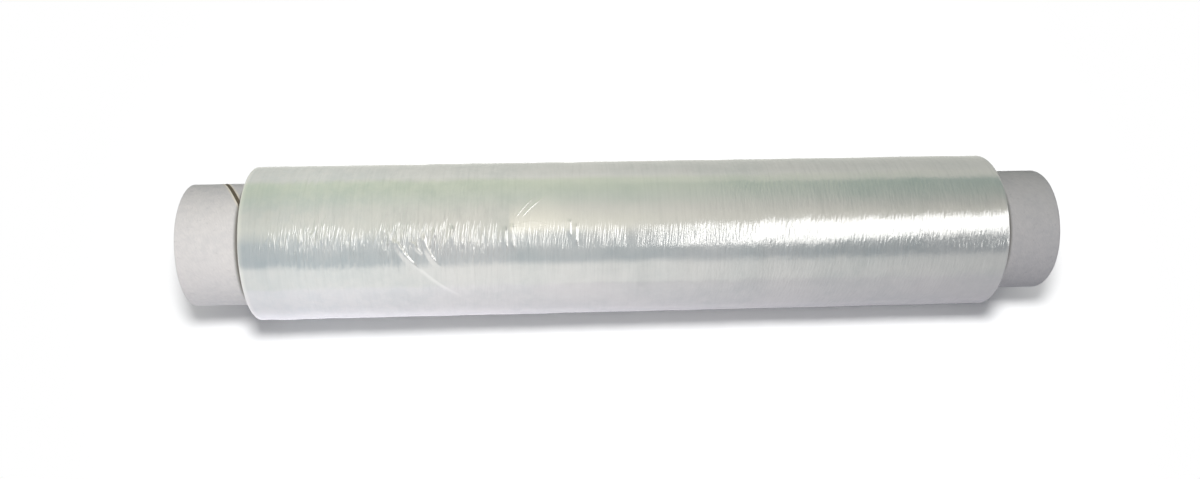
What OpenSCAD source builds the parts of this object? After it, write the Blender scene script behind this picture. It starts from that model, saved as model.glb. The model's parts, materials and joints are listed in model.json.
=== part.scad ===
// Roll of cling film: a spiral-wound paper core with the film wound on it.
// The roll lies on its side along X, on the small flat spot that its own weight presses into the film.

/* [Film] */
// Width of the film, along the roll
film_w = 300; // [100:1:600]
// Thickness of all the film wound on the core
wound_t = 6.7; // [2.5:0.1:40]
// Height of the step where the film's free edge lies on the turn below it
tail_step = 0.3; // [0.1:0.05:0.6]
// Place of the free edge around the roll, 0 at the back, 90 on top, 180 at the front
tail_angle = 212; // [190:1:235]
// Width of the flat spot that the roll rests on
rest_flat_w = 8; // [4:0.5:12]
// Soft corner at the outer edges of the film
film_edge = 0.6; // [0.2:0.1:1.2]

/* [End faces] */
// Spacing of the turns that show on the end faces
turn_pitch = 0.8; // [0.5:0.05:1.5]
// Width of the gap between two such turns
turn_gap = 0.25; // [0.1:0.05:0.4]
// Depth of that gap
turn_depth = 0.4; // [0.2:0.05:0.8]

/* [Core] */
// Bore of the paper core
core_bore_d = 40; // [20:0.5:80]
// Wall of the paper core
core_wall = 4.8; // [2:0.1:8]
// Length of core that stands out of the film on the left
left_stub = 26; // [5:0.5:60]
// Length of core that stands out of the film on the right
right_stub = 24; // [5:0.5:60]
// Worn corner at each edge of the core's cut ends
core_edge = 0.4; // [0.2:0.05:0.8]

/* [Core seam] */
// Distance along the core for one turn of the outer ply's seam
seam_lead = 86; // [60:1:140]
// Width of the seam, across its own direction
seam_w = 1; // [0.5:0.1:2]
// Depth of the seam, about the thickness of one ply
seam_depth = 0.4; // [0.2:0.05:0.8]
// Place of the seam around the left end of the core, measured as the free edge's
seam_angle = -30; // [-180:1:180]

/* [Hidden] */
$fn = 144;

// Overrun of every cut past the face that it starts from
overrun = 1;
// Facets in one turn of the seam, and corners of its section
seam_facets = 24;
seam_sides = 4;

core_bore_r = core_bore_d / 2;
core_r = core_bore_r + core_wall;
core_l = left_stub + film_w + right_stub;
roll_r = core_r + wound_t;

// The axis lies above the ground by the height that the flat spot leaves
axis_z = sqrt(pow(roll_r, 2) - pow(rest_flat_w / 2, 2));

// Turns that fit between the core and the outermost turn, which stays whole
turns = floor((wound_t - tail_step) / turn_pitch) - 1;

// The seam's slant makes its section around the core wider than the seam itself
seam_slant = atan(seam_lead / (2 * PI * core_r));
seam_half_angle = asin(seam_w / sin(seam_slant) / 2 / core_r);
seam_turns = (core_l + 2 * overrun) / seam_lead;

// Lays what is drawn along Z on the roll's own axis, with its start at x
module along_roll(x) {
    translate([x, 0, axis_z]) rotate([90, 0, 90]) children();
}

// Half a ring of length l between two radii, from a start angle
module half_ring(start_angle, inner_r, outer_r, l) {
    rotate_extrude(angle = 180, start = start_angle)
        translate([inner_r, 0]) square([outer_r - inner_r, l]);
}

// One turn of a spiral from two half rings: the second has its centre half a drop back, so the turn
// starts at its outer radius, has no step half way, and ends one drop further in
module spiral_turn(outer_r, thickness, drop, l) {
    half_ring(0, outer_r - thickness, outer_r, l);
    translate([-drop / 2, 0])
        half_ring(180, outer_r - drop / 2 - thickness, outer_r - drop / 2, l);
}

// Gaps between the turns, as deep as l, wound in from the free edge
module turn_gaps(l) {
    for (turn = [1 : 1 : turns])
        spiral_turn(roll_r - turn * turn_pitch, turn_gap, turn_pitch, l);
}

// What the soft corner takes off the outer edge of the end face at z = 0
module corner_cut() {
    rotate_extrude() polygon([
        [roll_r - film_edge - overrun, -overrun],
        [roll_r + overrun, -overrun],
        [roll_r + overrun, film_edge + overrun],
    ]);
}

// Turn gaps and soft corner of the end face at z = 0
module end_cuts() {
    translate([0, 0, -overrun]) turn_gaps(turn_depth + overrun);
    corner_cut();
}

module film_roll() {
    color("gainsboro") difference() {
        along_roll(left_stub - core_l / 2) rotate(tail_angle) difference() {
            spiral_turn(roll_r, roll_r - core_bore_r, tail_step, film_w);
            translate([0, 0, -overrun]) cylinder(r = core_r, h = film_w + 2 * overrun);
            end_cuts();
            translate([0, 0, film_w]) mirror([0, 0, 1]) end_cuts();
        }
        translate([-core_l / 2, -roll_r, -roll_r]) cube([core_l, 2 * roll_r, roll_r]);
    }
}

// Section of the core's wall, with its corners worn
module core_section() {
    polygon([
        [core_bore_r + core_edge, 0],
        [core_r - core_edge, 0],
        [core_r, core_edge],
        [core_r, core_l - core_edge],
        [core_r - core_edge, core_l],
        [core_bore_r + core_edge, core_l],
        [core_bore_r, core_l - core_edge],
        [core_bore_r, core_edge],
    ]);
}

// The butt joint of the outer ply, which winds along the core as a shallow open seam
module core_seam() {
    half_share = tan(seam_half_angle);
    floor_r = core_r - seam_depth;
    open_r = core_r + overrun;
    translate([0, 0, -overrun])
        rotate(seam_angle - overrun * 360 / seam_lead)
            linear_extrude(core_l + 2 * overrun, twist = -360 * seam_turns,
                           slices = ceil(seam_turns * seam_facets), segments = seam_sides)
                polygon([
                    [floor_r, -floor_r * half_share],
                    [open_r, -open_r * half_share],
                    [open_r, open_r * half_share],
                    [floor_r, floor_r * half_share],
                ]);
}

module paper_core() {
    color("whitesmoke") along_roll(-core_l / 2) difference() {
        rotate_extrude() core_section();
        core_seam();
    }
}

paper_core();
film_roll();
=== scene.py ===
# %% [markdown]
# A roll of cling film in Blender
#
# The object is simple: a paper tube with clear film wound on it. What makes it hard is the finish.
# Hundreds of clear turns look like brushed silver, and every slack place shows as a bright streak.
# This lesson loads the solids that were built to size, dresses them in numpy surfaces, and lights
# them the way a small table-top studio would.

import json
import math

import bpy
import numpy as np
from mathutils import Matrix, Vector


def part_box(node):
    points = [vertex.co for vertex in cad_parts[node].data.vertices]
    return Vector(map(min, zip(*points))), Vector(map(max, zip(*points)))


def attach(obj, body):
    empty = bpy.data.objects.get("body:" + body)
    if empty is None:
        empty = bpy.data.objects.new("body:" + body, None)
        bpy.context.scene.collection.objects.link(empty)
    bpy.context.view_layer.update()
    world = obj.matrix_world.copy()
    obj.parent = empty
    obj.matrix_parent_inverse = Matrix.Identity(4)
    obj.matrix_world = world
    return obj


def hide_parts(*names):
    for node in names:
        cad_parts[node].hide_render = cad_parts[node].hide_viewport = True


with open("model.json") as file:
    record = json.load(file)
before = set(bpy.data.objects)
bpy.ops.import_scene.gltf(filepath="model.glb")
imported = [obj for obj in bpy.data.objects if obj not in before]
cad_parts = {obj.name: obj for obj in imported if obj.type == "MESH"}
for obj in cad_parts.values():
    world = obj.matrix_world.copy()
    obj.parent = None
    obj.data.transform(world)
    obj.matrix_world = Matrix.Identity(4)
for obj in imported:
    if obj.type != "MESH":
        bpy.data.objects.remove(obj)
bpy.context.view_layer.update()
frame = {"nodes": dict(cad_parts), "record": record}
MM = 0.001
print("solids:", sorted(frame["nodes"]))

# %% [markdown]
# Every size of the roll comes from the solids, so the surfaces below always fit them. The axis lies
# where the bore of the core is. The radius of the film is measured on its vertices, because the film
# rests on a flat spot and its box is therefore a little lower than it is wide.

# %% Read the sizes of the roll
bore = next(m for m in frame["record"]["mounts"] if m["name"] == "core_bore")
axis_z = bore["pos_m"][2]
bore_r = bore["dims"]["r_mm"] * MM


def reach(node):
    """Largest distance of a solid's vertices from the roll's axis."""
    mesh = frame["nodes"][node].data
    co = np.empty(len(mesh.vertices) * 3, np.float32)
    mesh.vertices.foreach_get("co", co)
    y, z = co.reshape(-1, 3).T[1:]
    return float(np.hypot(y, z - axis_z).max())


core_r = reach("paper_core")
roll_r = reach("film_roll")
core_x0, core_x1 = (corner.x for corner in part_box("paper_core"))
film_x0, film_x1 = (corner.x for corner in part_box("film_roll"))
film_w = film_x1 - film_x0
print(f"film {film_w:.4f} m wide, radius {roll_r:.5f}; core radius {core_r:.5f}")

# %% [markdown]
# Angles around the roll are measured as on a clock face seen from the right end: 0 at the back, 90 on
# top, 180 at the front. The camera looks down on the front of the roll at a steep angle, and most of
# what the lamps do depends on that one number, so it comes first.
#
# A camera's rotation is three unit vectors: its right, its up and its backward direction. Here they
# start square to the roll and are then turned by the few degrees that the picture's outline shows.

# %% Place the camera
view_elevation = math.radians(72)
camera_distance = 0.4013
camera_x = -0.0307
camera_yaw = math.radians(2.997)
camera_pitch = math.radians(0.144)
camera_roll = math.radians(1.148)
camera_near = 10 * MM
sensor_width = 36
focal_share = 0.8

to_camera = Vector((0, -math.cos(view_elevation), math.sin(view_elevation)))
picture_up = Vector((0, math.sin(view_elevation), math.cos(view_elevation)))
square_on = Matrix((Vector((1, 0, 0)), picture_up, to_camera)).transposed()
turned = (Matrix.Rotation(camera_roll, 3, "Z") @ Matrix.Rotation(camera_pitch, 3, "X")
          @ Matrix.Rotation(camera_yaw, 3, "Y"))
axis_point = Vector((camera_x, 0, axis_z))

camera = bpy.data.objects.new("camera", bpy.data.cameras.new("camera"))
bpy.context.collection.objects.link(camera)
camera.matrix_world = (Matrix.Translation(axis_point + camera_distance * to_camera)
                       @ (square_on @ turned.transposed()).to_4x4())
camera.data.sensor_width = sensor_width
camera.data.lens = sensor_width * focal_share
camera.data.clip_start = camera_near
bpy.context.scene.camera = camera
bpy.context.scene.view_settings.view_transform = "Standard"
print("camera at", [round(v, 4) for v in camera.location], "lens", round(camera.data.lens, 2))

# %% [markdown]
# Surfaces are grids of points. Both pieces of the roll are rings in two ways: their rows go round the
# axis, and their columns go up one end, along the outside and back to the start. One function turns
# such a grid into a mesh. It joins each point to its neighbours, and writes a UV map and any extra
# numbers that a material wants to read. Whole arrays go in at once, so a hundred thousand faces take
# a moment.

# %% Turn a grid of points into a mesh
def grid_mesh(name, points, along, aside, **numbers):
    """A mesh from points (rows, columns, 3) that closes on itself both ways. along and aside place its
    rows and columns on the UV map. Each has one value more than the grid, so that the map runs on
    across the join. numbers are values per point, kept as attributes."""
    rows, columns = points.shape[:2]
    faces = rows * columns
    i, j = np.meshgrid(np.arange(rows), np.arange(columns), indexing="ij")
    row = np.stack([i, i, i + 1, i + 1], -1).reshape(-1)
    column = np.stack([j, j + 1, j + 1, j], -1).reshape(-1)
    corner = (row % rows) * columns + column % columns

    mesh = bpy.data.meshes.new(name)
    mesh.vertices.add(rows * columns)
    mesh.vertices.foreach_set("co", points.reshape(-1).astype(np.float32))
    mesh.loops.add(4 * faces)
    mesh.loops.foreach_set("vertex_index", corner.astype(np.int32))
    mesh.polygons.add(faces)
    mesh.polygons.foreach_set("loop_start", np.arange(0, 4 * faces, 4, dtype=np.int32))
    mesh.update(calc_edges=True)
    mesh.polygons.foreach_set("use_smooth", np.ones(faces, bool))

    uv = np.stack([along[row], aside[column]], -1)
    mesh.uv_layers.new(name="surface").data.foreach_set("uv", uv.reshape(-1).astype(np.float32))
    for number, values in numbers.items():
        layer = mesh.attributes.new(number, "FLOAT", "POINT")
        spread = np.broadcast_to(values, (rows, columns))
        layer.data.foreach_set("value", spread.reshape(-1).astype(np.float32))
    mesh.validate()

    piece = bpy.data.objects.new(name, mesh)
    bpy.context.collection.objects.link(piece)
    print(f"{name}: {2 * faces} triangles")
    return piece


def around(x, radius, angle):
    """Points at a place x along the roll, at a radius and an angle around its axis."""
    x, radius, angle = np.broadcast_arrays(x, radius, angle)
    return np.stack([x, radius * np.cos(angle), axis_z + radius * np.sin(angle)], -1)


# %% [markdown]
# Nothing on a real roll is quite even. One helper makes soft random hills on a grid: it takes white
# noise and blurs it by a chosen number of points in each direction, so one call gives long streaks
# around the roll and another gives broad dents. The seed is fixed, so every run gives the same roll.
# Two more helpers say where something happens: a smooth step, and a rounded hump.

# %% Make soft random hills
def hills(seed, shape, blur):
    """White noise with the wave lengths below about blur points taken out, scaled to a spread of 1."""
    waves = np.fft.fft2(np.random.default_rng(seed).standard_normal(shape))
    for axis, width in enumerate(blur):
        frequency = np.fft.fftfreq(shape[axis])
        keep = np.exp(-2 * (math.pi * width * frequency) ** 2)
        waves *= np.expand_dims(keep, 1 - axis)
    field = np.fft.ifft2(waves).real
    return (field - field.mean()) / field.std()


def step(low, high, value):
    """A smooth step from 0 at low to 1 at high."""
    t = np.clip((value - low) / (high - low), 0, 1)
    return t * t * (3 - 2 * t)


def hump(middle, half, value):
    """A rounded hump: 1 at the middle, about a third at half to each side, and then soon nothing."""
    return np.exp(-((value - middle) / half) ** 2)


# %% [markdown]
# The core is a tube of thick paper, longer than the film. Its wall is one closed outline that goes up
# the left cut face, along the outside, down the right face and back along the bore, with the corners
# of the cuts worn round. A Screw modifier could turn such an outline, but the seam that comes next
# needs a grid of its own, so the outline stays a pair of arrays. It has more points where it shows.

# %% Draw the wall of the core
core_corner = 0.4 * MM
hidden_rows, stub_rows, face_rows, corner_rows = 60, 34, 10, 4
same_point = 0.001 * MM


def loop_steps(x, r):
    """Distance from each point of a closed outline to the next, and from the last to the first."""
    return np.hypot(np.diff(x, append=x[0]), np.diff(r, append=r[0]))


def tube_section():
    """The wall's outline as (x, r) in one closed loop: left face, outside, right face, bore. Each worn
    corner is a quarter circle. Of points that fall together, only one is kept."""
    turn = np.linspace(0, math.pi / 2, corner_rows)
    rise, run = core_corner * np.sin(turn), core_corner * (1 - np.cos(turn))
    face = np.linspace(bore_r + core_corner, core_r - core_corner, face_rows)
    outside = np.concatenate([
        np.linspace(core_x0 + core_corner, film_x0, stub_rows),
        np.linspace(film_x0, film_x1, hidden_rows)[1:-1],
        np.linspace(film_x1, core_x1 - core_corner, stub_rows),
    ])
    parts = [
        (np.full(face_rows, core_x0), face),
        (core_x0 + run, core_r - core_corner + rise),
        (outside[1:-1], np.full(len(outside) - 2, core_r)),
        (core_x1 - run[::-1], core_r - core_corner + rise[::-1]),
        (np.full(face_rows, core_x1), face[::-1]),
        (core_x1 - run, bore_r + core_corner - rise),
        (np.linspace(core_x1, core_x0, hidden_rows)[1:-1], np.full(hidden_rows - 2, bore_r)),
        (core_x0 + run[::-1], bore_r + core_corner - rise[::-1]),
    ]
    x, r = (np.concatenate(p) for p in zip(*parts))
    keep = loop_steps(x, r) > same_point
    return x[keep], r[keep]


section_x, section_r = tube_section()
print("points in the core's outline:", len(section_x))

# %% [markdown]
# The tube is wound from strips of paper. The outer strip's edges don't quite meet, and leave an open
# seam that runs round the tube as a screw thread does. A groove like that is hard to cut into a
# straight grid, so the grid itself is wound: its columns follow the seam along the tube, and the seam
# is then simply a few columns that lie deeper than the rest. The paper's edges stand up in a small lip
# on both sides of it, the outside has faint dents, and the saw left the ends a little wavy.

# %% Wind the core
core_sides = 150
seam_lead = 86 * MM
seam_start = math.radians(-30)
seam_width = 1.0 * MM
seam_depth = 0.4 * MM
lip_height = 0.08 * MM
dent_height = 0.05 * MM
wavy_cut = 0.15 * MM
wavy_length = 7 * MM
# Columns at the seam, in halves of its width from its middle
seam_halves = np.array([-1.6, -1.2, -1, -0.9, -0.6, 0, 0.6, 0.9, 1, 1.2, 1.6])

seam_slant = math.atan(seam_lead / (2 * math.pi * core_r))
seam_arc = seam_width / math.sin(seam_slant)
seam_columns = seam_halves * seam_arc / 2 / core_r
plain_columns = np.linspace(seam_columns[-1], seam_columns[0] + 2 * math.pi, core_sides)[1:-1]
winding = np.concatenate([seam_columns, plain_columns])

wall_x, wall_turn = np.meshgrid(section_x, winding, indexing="ij")
wall_r = np.broadcast_to(section_r[:, None], wall_x.shape)
wall_angle = seam_start + wall_turn + 2 * math.pi * (wall_x - core_x0) / seam_lead
on_outside = step(core_r - core_corner, core_r, wall_r)
in_bore = 1 - step(bore_r, bore_r + core_corner, wall_r)

off_seam = np.abs(wall_turn) * core_r / (seam_arc / 2)
groove = seam_depth * (1 - step(0.9, 1.1, off_seam)) * on_outside
lip = lip_height * hump(1.25, 0.2, off_seam) * on_outside
dents = dent_height * hills(3, wall_x.shape, (9, 9)) * step(2, 12, off_seam)
wave = wavy_cut * np.abs(np.sin(2 * wall_turn + np.sign(wall_x)))
wave = wave * step(core_x1 - wavy_length, core_x1, np.abs(wall_x))
core_points = around(wall_x - np.sign(wall_x) * wave, wall_r - groove + lip + dents, wall_angle)

core_along = np.concatenate([[0], np.cumsum(loop_steps(section_x, section_r))])
core_aside = np.append(winding, winding[0] + 2 * math.pi) * core_r
core_tube = grid_mesh("core_tube", core_points, core_along, core_aside,
                      outside=on_outside, inside=in_bore)

# %% [markdown]
# The film's outline isn't a circle. It starts at its free edge, goes round once, and ends one step
# further in, under that edge. Two half circles make such a turn: the second has its centre half a
# step back. The formula below solves for the distance from the axis at each angle.

# %% Draw the turn of the film
tail_angle = math.radians(212)
tail_step = 0.3 * MM
film_corner = 0.6 * MM


def turn_radius(turn):
    """Distance of the film's outline from the axis, at an angle past the free edge: a half circle
    about the axis, then a half circle of half a step less about a centre half a step back."""
    back = tail_step / 2
    second = -back * np.cos(turn) + np.sqrt((roll_r - back) ** 2 - (back * np.sin(turn)) ** 2)
    return np.where(turn < math.pi, roll_r, second)


print("free edge stands", round((turn_radius(0.0) - turn_radius(2 * math.pi)) / MM, 3), "mm high")

# %% [markdown]
# Wound film is never flat. The left half of this roll was wound slack, apart from a few flat gaps, and
# the right half is tight and smooth. How slack a place is could be painted on as a mask. Here it is a
# product of steps and humps, so that the mesh and the material can share it.
#
# The angle that counts is the one from the line of sight: 0 where the roll faces the camera, more
# towards the back. Near 0 the film is slackest. Just above that, left of the middle, a patch looks
# milky, as film does where its turns don't touch: it is rougher, and its cream colour is a painted
# sheen. A fold is its sharp left edge, and it thins out to the right.

# %% Say where the film is slack
skin_rows, film_sides = 520, 150
# Middle and half width in millimetres along the roll, and how flat
flat_gaps = [(-99, 3.0, 0.7), (-11, 6.0, 0.35), (1, 3.6, 1.0)]

film_x = np.linspace(film_x0 + film_corner, film_x1 - film_corner, skin_rows)
turn = np.linspace(0, 2 * math.pi, film_sides)
skin_x, skin_turn = np.meshgrid(film_x, turn, indexing="ij")
skin_angle = tail_angle + skin_turn
skin_share = (skin_x - film_x0) / film_w
skin_mm = skin_x / MM
from_view = math.pi - view_elevation - skin_angle
from_view = np.degrees((from_view + math.pi) % (2 * math.pi) - math.pi)

# Less along the roll past its first third and past its middle, away from the view, and at the left edge
slack = (1.3 - 0.3 * step(0.2, 0.4, skin_share)) * (1 - 0.80 * step(0.42, 0.58, skin_share))
slack = slack * (0.12 + 0.88 * hump(2, 13, from_view))
slack = slack * (0.3 + 0.7 * step(0.02, 0.09, skin_share))
for gap_mm, gap_half, flatness in flat_gaps:
    slack = slack * (1 - flatness * hump(gap_mm, gap_half, skin_mm))

# The upper end of the milky patch, in degrees from the view
haze_and_sheen_top = 27 + 13 * hump(-32, 11, skin_mm)
haze = step(-46.6, -45.4, skin_mm) * (1 - 0.45 * step(-40, -15, skin_mm))
haze = haze * (1 - step(-15, 25, skin_mm)) * step(2, 9, from_view)
haze = haze * (1 - step(2, haze_and_sheen_top, from_view))
print(f"slack on {np.mean(slack > 0.3):.0%} of the film, milky on {np.mean(haze > 0.3):.0%}")

# %% [markdown]
# Slack film gathers in low ridges that run round the roll, and where it slipped it keeps a sharp curved
# crease. Each ridge is only a few hundredths of a millimetre high, but it tilts the surface by some
# degrees, and that is enough to catch a lamp. Cloth simulation would give ridges somewhere. Hills
# drawn out around the roll, and creases given as curves, put them where the real roll has them.

# %% Shape the slack film
broad_height = 0.05 * MM
ridge_height = 0.018 * MM
sharp_height = 0.020 * MM
fold_slope = 0.08
fold_spread = 1.5
# Start along the roll, first and last angle from the view, lean, bend, width, steepness: mm, degrees
creases = [
    (-90.3, 3, -34, 0.273, 0.0045, 1.1, 0.66),
    (-78.8, 6, -32, 0.00, 0.0090, 1.0, 0.70),
    (-83.2, 0, -16, 0.35, 0.0000, 0.7, 0.65),
    (-75.0, 9, -15, 0.00, 0.0000, 0.8, 0.60),
    (-67.8, 11, -14, 0.01, 0.0000, 1.0, 0.60),
    (-47.6, 10, -19, 0.00, 0.0000, 1.0, 0.60),
    (-44.9, 12, -20, 0.00, 0.0000, 1.1, 0.60),
    (-22.8, 14, -6, 0.00, 0.0000, 0.9, 0.50),
    (-20.5, 11, -15, 0.00, 0.0000, 1.0, 0.52),
    (-44.0, 14, 44, 0.35, 0.0070, 0.35, 0.52),
    (-41.6, 14, 43, 0.35, 0.0130, 0.40, 0.50),
]


def crease(start, first, last, lean, bend, width, steep):
    """A low fold along x = start + lean s + bend s squared, with s the degrees gone from its first
    angle. Across, it is a rounded ridge; along, it rises and dies away."""
    gone = (from_view - first) * np.sign(last - first)
    line = (start + lean * gone + bend * gone**2) * MM
    slope = (lean + 2 * bend * gone) / (math.radians(1) * roll_r / MM)
    across = (skin_x - line) / np.sqrt(1 + slope**2)
    length = abs(last - first)
    along = step(0, 0.15 * length, gone) * (1 - step(0.45 * length, length, gone))
    return fold_slope * width * steep * MM * along * hump(0, fold_spread * width * MM, across)


broad = broad_height * hills(11, skin_x.shape, (5, 4))
ridges = ridge_height * hills(12, skin_x.shape, (1.5, 7)) * slack
sharp = sharp_height * np.maximum(hills(13, skin_x.shape, (1.2, 6)) - 1.0, 0) * slack
folds = sum(crease(*numbers) for numbers in creases)
skin_r = turn_radius(skin_turn) + broad + ridges + sharp + folds
print("ridges and folds reach", round(float((skin_r - turn_radius(skin_turn)).max() / MM), 3), "mm")

# %% [markdown]
# The ends of the roll show the edges of all the turns, as fine rings with a few deeper gaps where the
# winding shifted. The grid goes down each end face to the core, and a spiral wave moves it in and out.

# %% Wind the end faces
ring_rows, bend_rows = 48, 5
gap_pitch = 0.8 * MM
gap_depth = 0.4 * MM
gap_share = 0.16
drift_depth = 0.12 * MM


def end_x(side, depth):
    """Place along the roll at a depth below one end face: side is -1 for the left, 1 for the right."""
    return (film_x1 if side > 0 else film_x0) - side * depth


def end_rows(side):
    """Rows of points from the core out to the corner of one end face. The gaps between turns are a
    narrow wave of the radius plus one pitch for each turn of the angle, so they wind inwards."""
    rim = turn_radius(turn) - film_corner
    share = np.linspace(0, 1, ring_rows)[:, None]
    radius = core_r + share * (rim - core_r)
    phase = (roll_r - radius) / gap_pitch + turn / (2 * math.pi)
    gap = hump(np.round(phase), gap_share, phase) * step(0, 0.08, share) * (1 - step(0.9, 1, share))
    drift = np.abs(hills(21 + side, radius.shape, (2.5, 40))) * step(0, 0.2, share)
    return around(end_x(side, gap_depth * gap + drift_depth * drift), radius, tail_angle + turn)


def bend_points(side):
    """Rows round the soft corner between an end face and the outer skin: a quarter circle."""
    bend = np.linspace(0, math.pi / 2, bend_rows)[1:-1, None]
    radius = skin_r[-1 if side > 0 else 0] - film_corner * (1 - np.sin(bend))
    return around(end_x(side, film_corner * (1 - np.cos(bend))), radius, tail_angle + turn)


left, right = end_rows(-1), end_rows(1)
print("gaps on each end face:", round((roll_r - core_r) / gap_pitch))

# %% [markdown]
# The faces, the rounded corners and the outer skin are rows of one grid, so the film is one closed
# skin. What would lie below the table is raised to it: a roll of film is soft, and rests on a flat.

# %% Build the film
skin = around(skin_x, skin_r, skin_angle)
film_points = np.concatenate([left, bend_points(-1), skin, bend_points(1)[::-1], right[::-1]])
film_points[..., 2] = np.maximum(film_points[..., 2], 0)
film_rows = len(film_points)


def over_skin(values):
    """Values for the points of the outer skin, set into the whole grid, with 0 on the ends."""
    whole = np.zeros((film_rows, film_sides))
    first = ring_rows + bend_rows - 2
    whole[first:first + skin_rows] = values
    return whole


run = np.linalg.norm(np.diff(film_points[:, 0], axis=0), axis=-1)
film_along = np.concatenate([[0], np.cumsum(run), [run.sum() + film_w]])
film_aside = np.append(turn, 2 * math.pi) * roll_r
on_face = np.zeros((film_rows, 1))
on_face[:ring_rows] = on_face[-ring_rows:] = 1
wound_film = grid_mesh("wound_film", film_points, film_along, film_aside,
                       end_face=on_face, slack=over_skin(slack), haze=over_skin(haze))

# %% [markdown]
# Materials are built from nodes. Written out, a chain of Math nodes is hard to read, so a small class
# wraps a socket and lets Python's own signs add the nodes. Every other node comes from its one method,
# which sets the node up first and then fills or links its sockets.

# %% Write shader maths as Python
class Wire:
    """A socket of a node tree. Arithmetic on wires adds Math nodes."""

    def __init__(self, tree, socket=None):
        self.tree = tree
        self.socket = socket

    def node(self, kind, settings=None, sockets=None, out=0):
        """Adds a node: its settings first, a ramp's stops among them, then values or wires by socket."""
        node = self.tree.nodes.new("ShaderNode" + kind)
        for name, value in (settings or {}).items():
            if name == "stops":
                self.set_stops(node.color_ramp.elements, value)
            else:
                setattr(node, name, value)
        for key, value in (sockets or {}).items():
            if isinstance(value, Wire):
                value.into(node, key)
            else:
                node.inputs[key].default_value = value
        return Wire(self.tree, node.outputs[out])

    @staticmethod
    def set_stops(elements, stops):
        """Brings a colour ramp up to the wanted number of stops, each a place and a colour."""
        while len(elements) < len(stops):
            elements.new(1)
        for element, (place, colour) in zip(elements, stops):
            element.position = place
            element.color = (*colour, 1)

    def into(self, node, socket):
        """Links this wire to a socket of a node."""
        self.tree.links.new(self.socket, node.inputs[socket])

    def math(self, operation, *values):
        """A Math node with this wire first."""
        return self.node("Math", {"operation": operation}, dict(enumerate((self, *values))))

    def vector(self, operation, *values, out=0):
        """A Vector Math node with this wire first. Output 1 is its number."""
        return self.node("VectorMath", {"operation": operation}, dict(enumerate((self, *values))), out)

    def part(self, axis):
        """The x, y or z of a vector wire, for 0, 1 or 2."""
        return self.node("SeparateXYZ", None, {0: self}, axis)

    def __add__(self, other):
        return self.math("ADD", other)

    def __sub__(self, other):
        return self.math("SUBTRACT", other)

    def __rsub__(self, other):
        return self.node("Math", {"operation": "SUBTRACT"}, {0: other, 1: self})

    def __mul__(self, other):
        return self.math("MULTIPLY", other)

    def __abs__(self):
        return self.math("ABSOLUTE")

    __radd__ = __add__
    __rmul__ = __mul__

    def smooth(self, low, high):
        """0 below low, 1 above high, and a smooth rise between them."""
        return self.node("MapRange", {"interpolation_type": "SMOOTHSTEP"},
                         {"Value": self, "From Min": low, "From Max": high})

    def band(self, low, full, fading, high):
        """A smooth rise from low to full, and a smooth fall from fading to high."""
        return self.smooth(low, full) * (1 - self.smooth(fading, high))

    def mix(self, colour_a, colour_b):
        """One colour where this wire is 0 and the other where it is 1."""
        a, b = (c if isinstance(c, Wire) else (*c, 1) for c in (colour_a, colour_b))
        return self.node("Mix", {"data_type": "RGBA"}, {0: self, 6: a, 7: b}, 2)

    def coats(self, *coats):
        """This colour under coats of others, each given as how much of it there is and its colour."""
        colour = self
        for amount, coat in coats:
            colour = amount.mix(colour, coat)
        return colour

    def noise(self, scale, detail=2.0, roughness=0.5):
        """Noise of a vector wire, about scale waves to the metre in each of its directions."""
        return self.node("TexNoise", {"noise_dimensions": "3D"}, {
            "Vector": self.vector("MULTIPLY", scale), "Scale": 1.0,
            "Detail": detail, "Roughness": roughness})


def finish(name, **constants):
    """A new material, a wire to build its nodes on, and its surface shader. constants are values that
    are the same all over, by the name of the shader's socket."""
    material = bpy.data.materials.new(name)
    material.use_nodes = True
    tree = material.node_tree
    surface = tree.nodes["Principled BSDF"]
    for socket, value in constants.items():
        surface.inputs[socket.replace("_", " ")].default_value = value
    return material, Wire(tree), surface


# %% [markdown]
# The core is grey-white paper made from waste paper: matt, a little blotchy, with short fibres and dark
# specks. All four are noise, the finest last. Patterns that follow the tube read its UV map, and the
# rest read the place in space, so that they don't break where the map does.

# %% Make the core's paper
paper, wire, surface = finish("core_paper", IOR=1.45, Roughness=0.85)
place = wire.node("TexCoord", out="Object")
flat = wire.node("UVMap", {"uv_map": "surface"})
place_x, flat_v = place.part(0), flat.part(1)

blotch = place.noise((90, 90, 90), 3.0)
mottle = place.noise((420, 420, 420), 3.0, 0.6).smooth(0.3, 0.7)
fibre = flat.noise((900, 1500, 1), 4.0, 0.7)
speck = place.noise((700, 700, 700), 2.0, 0.6).smooth(0.62, 0.72)
patchy = blotch.smooth(0.3, 0.7)
sheet = patchy.mix((0.775, 0.762, 0.765), (0.83, 0.807, 0.80)).coats(
    (mottle * 0.6, (0.90, 0.875, 0.865)),
    (fibre.smooth(0.35, 0.65) * 0.42, (0.68, 0.67, 0.68)),
    (speck * 0.25, (0.52, 0.51, 0.52)),
)
print("paper nodes:", len(wire.tree.nodes))

# %% [markdown]
# At the bottom of the seam the brown board below shows, between two cream lips where the paper's edge
# is torn. Right beside the film the paper is painted dark, a painted shade for the corner that no light
# gets into. The cut ends show the plies as rings, and the bore is bare board.

# %% Finish the core
ply_thickness = 0.48 * MM
paper_relief = 0.3 * MM
shade_start, shade_end = 2.3 * MM, 4.0 * MM
wider_on_right = 0.5 * MM

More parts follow.
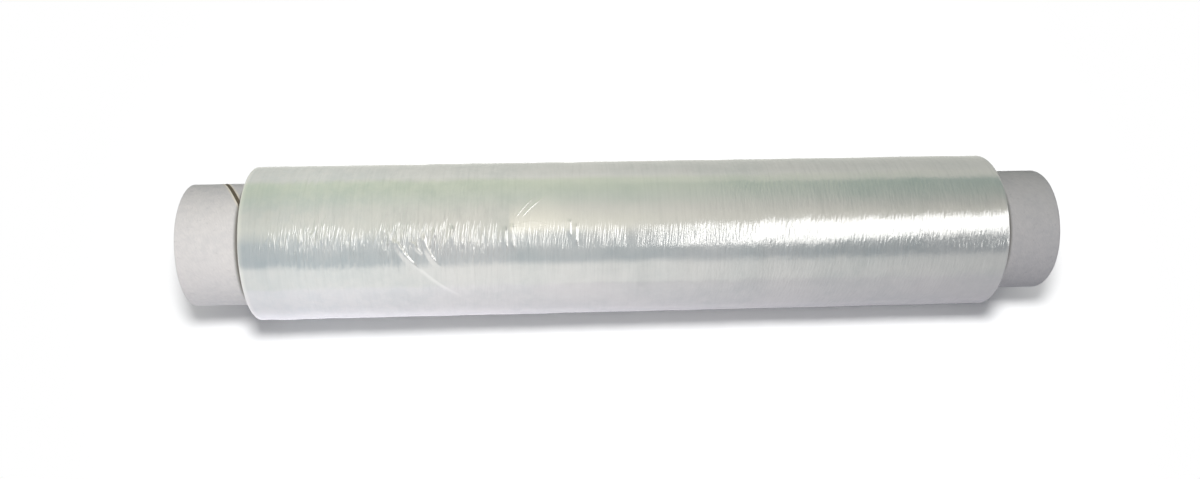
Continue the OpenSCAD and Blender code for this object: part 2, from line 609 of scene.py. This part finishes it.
from_seam = abs(flat_v).math("MINIMUM", abs(flat_v - 2 * math.pi * core_r)) * (2 / seam_arc)
open_seam = 1 - from_seam.smooth(1.1, 1.45)
torn_lip = from_seam.band(1.1, 1.5, 1.9, 3.2)
beside_film = abs(place_x - (film_x0 + film_x1) / 2) - film_w / 2
# Painted shade: the paper next to each end of the film is darkened, a little wider on the right.
shade = 1 - (beside_film - wider_on_right * place_x.smooth(-0.01, 0.01)).smooth(shade_start, shade_end)
radius = place.vector("MULTIPLY_ADD", (0, 1, 1), (0, 0, -axis_z)).vector("LENGTH", out=1)
ply = (radius * (2 * math.pi / ply_thickness)).math("SINE").smooth(0.3, 1.0)
outside = wire.node("Attribute", {"attribute_name": "outside"}, out="Fac")
inside = wire.node("Attribute", {"attribute_name": "inside"}, out="Fac")

seam_board = fibre.smooth(0.3, 0.7).mix((0.14, 0.115, 0.08), (0.22, 0.18, 0.13))
bore_board = patchy.mix((0.46, 0.42, 0.37), (0.54, 0.50, 0.45))
cut_board = (ply * 0.55).mix((0.60, 0.575, 0.545), (0.36, 0.32, 0.28))
wrapped = sheet.coats(
    (torn_lip * 0.8, (0.98, 0.91, 0.79)),
    (open_seam, seam_board),
    # painted shade beside the film
    (shade * 0.88, (0.13, 0.12, 0.10)),
)
colour = cut_board.coats((inside, bore_board), (outside, wrapped))
relief = fibre * 0.6 + blotch * 0.1 + ply * (1 - outside) * (1 - inside) * 0.8
bumps = wire.node("Bump", None, {"Strength": 0.35, "Distance": paper_relief, "Height": relief})
colour.into(surface, "Base Color")
bumps.into(surface, "Normal")
core_tube.data.materials.append(paper)
print("core nodes:", len(wire.tree.nodes))

# %% [markdown]
# One sheet of cling film reflects a few hundredths of the light. A stack of many sheets, each with a
# little air below it, reflects far more, so the stack is given the surface of one clear body with a
# high index of refraction over a pale grey. It stays a plastic: with metal turned up, it would turn
# into kitchen foil.
#
# The mesh is too coarse for the sharp side of a crease, so the material draws each crease once more,
# as height for a bump. Its UV map gives the same angle from the line of sight as the mesh used.

# %% Draw the creases of the film
film, wire, surface = finish("cling_film", IOR=2.8)
place = wire.node("TexCoord", out="Object")
flat = wire.node("UVMap", {"uv_map": "surface"})
place_x, flat_v = place.part(0), flat.part(1)
# A fold low on the left that is painted nearly white, partly as film whitened by stretching and partly as
# a painted highlight, given as the creases are
stretch_and_highlight_fold = (-84.4, -12, -62, 0.426, 0.0045, 0.8, 1.5)
edge_seen_at = math.degrees(3 * math.pi - view_elevation - tail_angle)
seen_at = edge_seen_at - flat_v * math.degrees(1 / roll_r)


def fold_line(start, first, last, lean, bend, width, steep):
    """The same fold as in the mesh, but sharp: across, it rises over twice its width and falls off
    over once its width on the right; along, it rises, holds, and is gone well before its end."""
    gone = (seen_at - first) * math.copysign(1, last - first)
    slope = (gone * (2 * bend) + lean) * (MM / roll_r / math.radians(1))
    past_line = place_x * (1 / MM) - (gone * bend + lean) * gone - start
    across = past_line * (slope * slope + 1).math("POWER", -0.5)
    length = abs(last - first)
    along = gone.band(0, 0.15 * length, 0.40 * length, 0.70 * length)
    return across.band(-2 * width, 0, 0, width) * along * (width * steep / fold_spread)


fold = sum(fold_line(*numbers) for numbers in creases)
stretch_and_highlight = fold_line(*stretch_and_highlight_fold)
print("creases:", len(creases), "in", len(wire.tree.nodes), "nodes")

# %% [markdown]
# Between the creases the slack film is covered in short strokes that lean a little, coarse on the left
# and fine towards the middle, in clusters. Noise gives them, squeezed along the roll and drawn out
# around it. The same trick gives the long faint streaks of the winding, the frayed shine on the tight
# half, and the fine rings on the end faces. All the places below are metres along the roll.

# %% Weave the strokes of the film
stroke_lean = 0.12

leaning = wire.node("CombineXYZ", None, {0: place_x + flat_v * stroke_lean, 1: flat_v})
coarse = leaning.noise((920, 110, 1), 2.0, 0.55).smooth(0.36, 0.74) * 1.45
fine = leaning.noise((1700, 100, 1), 1.5, 0.5).smooth(0.36, 0.74) * 0.42
stroke = coarse + (fine - coarse) * place_x.smooth(-0.065, -0.025)
cluster = leaning.noise((60, 60, 1), 2.0).smooth(0.25, 0.6) * 0.6 + 0.45
fray = leaning.noise((1000, 260, 1), 2.0, 0.5) * place_x.smooth(0.0, 0.05)
streak = flat.noise((800, 42, 1), 3.0, 0.6)
rings = flat.noise((3500, 6, 1), 2.0, 0.6)
cloud = place.noise((28, 40, 40), 3.0)
mottle = place.noise((170, 170, 170), 3.0, 0.6).smooth(0.3, 0.7)
print("patterns in", len(wire.tree.nodes), "nodes")

# %% [markdown]
# The grey of the stack isn't the same all over. It is cooler on the left and darkest near the left end.
# At the back of the middle it is painted warm and pale, a painted glow above the highlight. The film's
# left rim has a painted highlight, where its edge catches the light. A fold low on the left is painted
# nearly white, partly film whitened by stretching and partly a painted highlight for the fold. The milky
# patch is rougher film with a painted cream sheen. Low on the front, and at the back on the left, it is
# patchy, and low on the front the winding's lines fade. Each of these is a mask, and the colours are
# laid on as coats.

# %% Colour the film
# The milky patch: its roughness is real, and its cream colour is a painted sheen.
haze_and_sheen_wire = wire.node("Attribute", {"attribute_name": "haze"}, out="Fac")
cool = 1 - place_x.smooth(-0.15, -0.06)
left_end = 1 - place_x.smooth(-0.143, -0.120)
# Painted highlight on the film's left rim, where its edge catches the light.
rim = 1 - place_x.smooth(film_x0 + 0.3 * MM, film_x0 + 2.2 * MM)
# Painted glow: warm pale film at the back of the middle, above the highlight.
middle = place_x.band(-0.06, -0.03, 0.02, 0.05) * seen_at.band(8, 20, 48, 62)
low = 1 - seen_at.smooth(-40, -18)
lines = 1 - 0.6 * low
patches = seen_at.smooth(8, 25) * (1 - place_x.smooth(-0.07, -0.02)) + low * 0.5

skin_colour = cloud.smooth(0.3, 0.7).mix((0.555, 0.585, 0.56), (0.68, 0.675, 0.645)).coats(
    (cool * 0.55, (0.555, 0.630, 0.64)),
    (mottle * (patches * 0.3 + 0.34), (0.74, 0.74, 0.70)),
    (streak.smooth(0.5, 0.75) * lines * 0.34, (0.76, 0.765, 0.735)),
    ((1 - streak.smooth(0.3, 0.5)) * lines * 0.22, (0.44, 0.46, 0.445)),
    (left_end * 0.35, (0.42, 0.45, 0.44)),
    # painted glow above the highlight
    (middle * 0.32, (0.80, 0.78, 0.74)),
    # painted highlight on the left rim
    (rim * 0.6, (0.86, 0.86, 0.79)),
    # nearly white along the fold: film whitened by stretching, and a painted highlight
    (stretch_and_highlight * 0.7, (0.93, 0.93, 0.90)),
    # painted cream sheen on the milky patch
    (haze_and_sheen_wire * 0.9, (0.95, 0.92, 0.81)),
)
print("skin in", len(wire.tree.nodes), "nodes")

# %% [markdown]
# Last come gloss and relief. The tight half is given a little more roughness than the slack one, which
# softens its long highlight. The milky patch is rougher still, and the end faces are quite dull. The
# bump adds up strokes, fray, streaks, rings and creases.

# %% Finish the film
film_relief = 0.25 * MM

face = wire.node("Attribute", {"attribute_name": "end_face"}, out="Fac")
slack_wire = wire.node("Attribute", {"attribute_name": "slack"}, out="Fac")
edge_colour = rings.smooth(0.35, 0.65).mix((0.52, 0.56, 0.56), (0.74, 0.77, 0.77))
tight = place_x.smooth(-0.02, 0.06)
rough = 0.09 + 0.06 * tight + 0.05 * cloud + 0.2 * haze_and_sheen_wire + 0.3 * face
height = stroke * cluster * slack_wire + fray * 0.45 + streak * lines * 0.15 + rings * face * 2 + fold * 4
bumps = wire.node("Bump", None, {"Strength": 1.0, "Distance": film_relief, "Height": height})
face.mix(skin_colour, edge_colour).into(surface, "Base Color")
rough.into(surface, "Roughness")
bumps.into(surface, "Normal")
wound_film.data.materials.append(film)
print("film nodes:", len(wire.tree.nodes))

# %% [markdown]
# The stage is a white floor that keeps the shadow of the roll. Three kinds of light see it in three
# ways. The camera sees paint, lit by lamps of its own, which turns into plain white further out. That
# white reaches into the shadow below the core's ends and lightens it, and the paint is a little darker on
# the left, which deepens the shadow there: painted light and painted shade on the floor. Light that
# bounces sees a grey, darker on the right, so that little comes back to the underside of the roll.
# Reflections see a glow, which stands for the table that the real film mirrors: brightest in front on
# the left, with a darker strip close to the roll, a painted reflection of the roll's shadow on the table.

# %% Lay the floor
floor_half = 3.0
white_from, white_to = 0.162, 0.255


def stage_sheet(name, corners, material):
    """A flat sheet on four corners (x, y, z), given in order. It is part of the stage only."""
    mesh = bpy.data.meshes.new(name)
    mesh.from_pydata(corners, [], [(0, 1, 2, 3)])
    mesh.materials.append(material)
    sheet = bpy.data.objects.new(name, mesh)
    bpy.context.collection.objects.link(sheet)
    return sheet


floor_paint, wire, surface = finish("floor_paint", Roughness=0.9, Specular_IOR_Level=0.0)
to_eye = wire.node("LightPath", out="Is Camera Ray")
to_gloss = wire.node("LightPath", out="Is Glossy Ray")
floor_place = wire.node("TexCoord", out="Object")
floor_y = floor_place.part(1)
to_right = floor_place.part(0).smooth(-0.20, 0.20)
behind = floor_y.smooth(-0.02, 0.02)

bounced = to_right.mix((0.72, 0.72, 0.73), (0.20, 0.20, 0.21))
# Painted shade: darker paint on the left deepens the roll's shadow there.
seen = to_right.mix((0.90, 0.90, 0.90), (0.99, 0.99, 0.99))
to_eye.mix(bounced, seen).into(surface, "Base Color")

level = 1.53 - to_right * 0.72 - behind * (0.48 - 0.66 * to_right)
level = level + floor_y.smooth(0.03, 0.16) * (0.18 - 0.24 * to_right)
rise = floor_y.smooth(-0.075, -0.042) * (1 - behind)
# Painted reflection of the roll's shadow: a darker strip close to the roll.
close = floor_y.smooth(-0.042, -0.031) * (1 - behind)
level = level * (1 + rise * (0.20 - 0.28 * to_right) - close * 0.24)
tint = behind.mix((1.01, 0.975, 1.06), (1, 1, 0.92))
glow = wire.node("VectorMath", {"operation": "SCALE"}, {0: tint, "Scale": level})
mirrored = wire.node("Emission", None, {"Color": glow, "Strength": 1.0})
white = wire.node("Emission", None, {"Color": (1, 1, 1, 1), "Strength": 1.0})
# Painted light: the white starts close enough to lighten the shadow below the core's ends.
far_out = floor_place.vector("LENGTH", out=1).smooth(white_from, white_to)
painted = Wire(wire.tree, surface.outputs["BSDF"])
near = wire.node("MixShader", None, {0: to_gloss, 1: painted, 2: mirrored})
whole = wire.node("MixShader", None, {0: to_eye * far_out, 1: near, 2: white})
whole.into(wire.tree.nodes["Material Output"], "Surface")

square = np.array([(-1, -1, 0), (1, -1, 0), (1, 1, 0), (-1, 1, 0)])
floor = stage_sheet("floor", square * floor_half, floor_paint)
print("floor nodes:", len(wire.tree.nodes))

# %% [markdown]
# The lamps hang close to the camera, as in a photograph taken by hand, and each lights only chosen
# objects. The one for the roll is near, so the roll darkens to the right. Only the floor may block it,
# because the dark corners between core and film are painted. The two for the floor don't weaken with
# distance. One is at the camera: only the film blocks it, and hides its own shadow. The other hangs
# higher and further back, and leaves the narrow shadow along the front and below the core's ends.

# %% Light the roll
def group(name, members):
    """A collection that only names objects, for a lamp to light or to be blocked by."""
    collection = bpy.data.collections.new(name)
    for member in members:
        collection.objects.link(member)
    return collection


def lamp(name, place, radius, power, colour, lights, blockers=None, even=False):
    """A round soft lamp that lights only some objects. Where blockers are given, only they throw its
    shadows. An even lamp is as strong far away as it is near."""
    light = bpy.data.lights.new(name, "POINT")
    light.shadow_soft_size = radius
    light.energy = power
    light.color = colour
    if even:
        light.use_nodes = True
        fall = Wire(light.node_tree).node("LightFalloff", None, {"Strength": 1.0}, out="Constant")
        fall.into(light.node_tree.nodes["Emission"], "Strength")
    holder = bpy.data.objects.new(name, light)
    bpy.context.collection.objects.link(holder)
    holder.location = place
    holder.visible_camera = False
    holder.visible_glossy = False
    holder.light_linking.receiver_collection = group(name + "_lights", lights)
    if blockers:
        holder.light_linking.blocker_collection = group(name + "_blockers", blockers)
    print(f"{name}: {power} W at", [round(v, 3) for v in place])


lamp("key_lamp", (-0.118, -0.085, 0.335), radius=0.10, power=2.68, colour=(1, 0.97, 0.92),
     lights=[core_tube, wound_film], blockers=[floor])
lamp("floor_fill", camera.location, radius=0.05, power=5.9, colour=(1, 0.97, 0.93),
     lights=[floor], blockers=[wound_film], even=True)
lamp("floor_lamp", (-0.03, -0.0185, 0.50), radius=0.046, power=33.5, colour=(1, 1, 1),
     lights=[floor], even=True)

# %% [markdown]
# A glossy thing shows the room more than it shows the lamps, and the bands along the film are such a
# room: a white table in front, a dim blue stretch above it, then a cream ceiling, a green wall and a
# pale floor behind. Two colour ramps say what is seen at each elevation, one for the left of the roll
# and one for the right. Only reflections see them. The camera sees white. All other light comes from a
# dim plain room, bluish in front, and a little greener behind, where its left is the paler side.

# %% Paint the room
plain_front = (0.195, 0.205, 0.245)
plain_left = (0.265, 0.28, 0.27)
plain_right = (0.21, 0.225, 0.21)
all_right_from = 0.42
half_turn = 180
# Elevation in degrees, 0 in front, 90 overhead, 180 behind, and the colour there
room_left = [(0, (1.36, 1.37, 1.37)), (29.5, (1.24, 1.25, 1.25)), (38.5, (0.15, 0.27, 0.40)),
             (70, (0.17, 0.26, 0.36)), (89, (0.93, 0.91, 0.75)), (116, (0.70, 0.70, 0.58)),
             (134, (0.51, 0.65, 0.47)), (152, (0.60, 0.77, 0.48)), (169, (0.86, 1.03, 0.68)),
             (175, (1.15, 1.15, 1.02))]
room_right = [(0, (0.84, 0.84, 0.84)), (32, (0.80, 0.80, 0.80)), (41, (0.03, 0.07, 0.14)),
              (78, (0.09, 0.12, 0.16)), (96, (0.82, 0.76, 0.60)), (114, (0.46, 0.46, 0.40)),
              (132, (0.22, 0.34, 0.27)), (158, (0.11, 0.31, 0.26)), (161, (0.98, 0.98, 0.88))]

world = bpy.data.worlds.new("room")
bpy.context.scene.world = world
world.use_nodes = True
wire = Wire(world.node_tree)
ray = wire.node("TexCoord", out="Generated")
ray_x, ray_y, ray_z = ray.part(0), ray.part(1), ray.part(2)
elevation = ray_z.math("ARCTAN2", ray_y * -1) * (1 / math.pi)


def seen_room(stops):
    """The colour of the room at a ray's elevation, by a ramp that runs from 0 in front to 1 behind."""
    shares = [(degrees / half_turn, colour) for degrees, colour in stops]
    return wire.node("ValToRGB", {"stops": shares}, {0: elevation})


rightward = wire.node("MapRange", None, {"Value": ray_x, "From Min": 0.0, "From Max": all_right_from})
reflected = rightward.mix(seen_room(room_left), seen_room(room_right))
plain_back = ray_x.smooth(-0.4, 0.4).mix(plain_left, plain_right)
plain = ray_y.smooth(-0.6, 0.6).mix(plain_front, plain_back)
indoors = wire.node("LightPath", out="Is Glossy Ray").mix(plain, reflected)
room = wire.node("LightPath", out="Is Camera Ray").mix(indoors, (1, 1, 1))
room.into(world.node_tree.nodes["Background"], "Color")
print("room nodes:", len(wire.tree.nodes))

# %% [markdown]
# Two bright panels hang above, as soft boxes do in a studio. The one on the right is the long highlight
# along the tight film. The other is far out on the same side. The smooth film doesn't show it: only
# ridges and folds tip far enough to catch it.

# %% Hang the panels
panel_z = axis_z + 0.80
panel_colour = (1, 0.995, 0.97, 1)
panel_strength = 4.0


def panel(name, corners):
    """A glowing sheet above the roll, on corners given as (x, y). Only reflections see it."""
    cloth, wire, _ = finish(name)
    lit = wire.node("Emission", None, {"Color": panel_colour, "Strength": panel_strength})
    lit.into(wire.tree.nodes["Material Output"], "Surface")
    sheet = stage_sheet(name, [(x, y, panel_z) for x, y in corners], cloth)
    sheet.visible_camera = False
    sheet.visible_diffuse = False
    sheet.visible_shadow = False
    print(f"{name}: {len(corners)} corners at {panel_z:.3f} m")


panel("right_panel", [(0.145, -0.56), (0.75, -0.19), (0.75, 0.16), (0.145, -0.06)])
panel("side_panel", [(0.80, -0.80), (1.6, -1.0), (1.6, 0.30), (0.80, 0.15)])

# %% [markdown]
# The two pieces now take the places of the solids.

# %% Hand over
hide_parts("paper_core")
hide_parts("film_roll")
for piece in (core_tube, wound_film):
    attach(piece, "root")
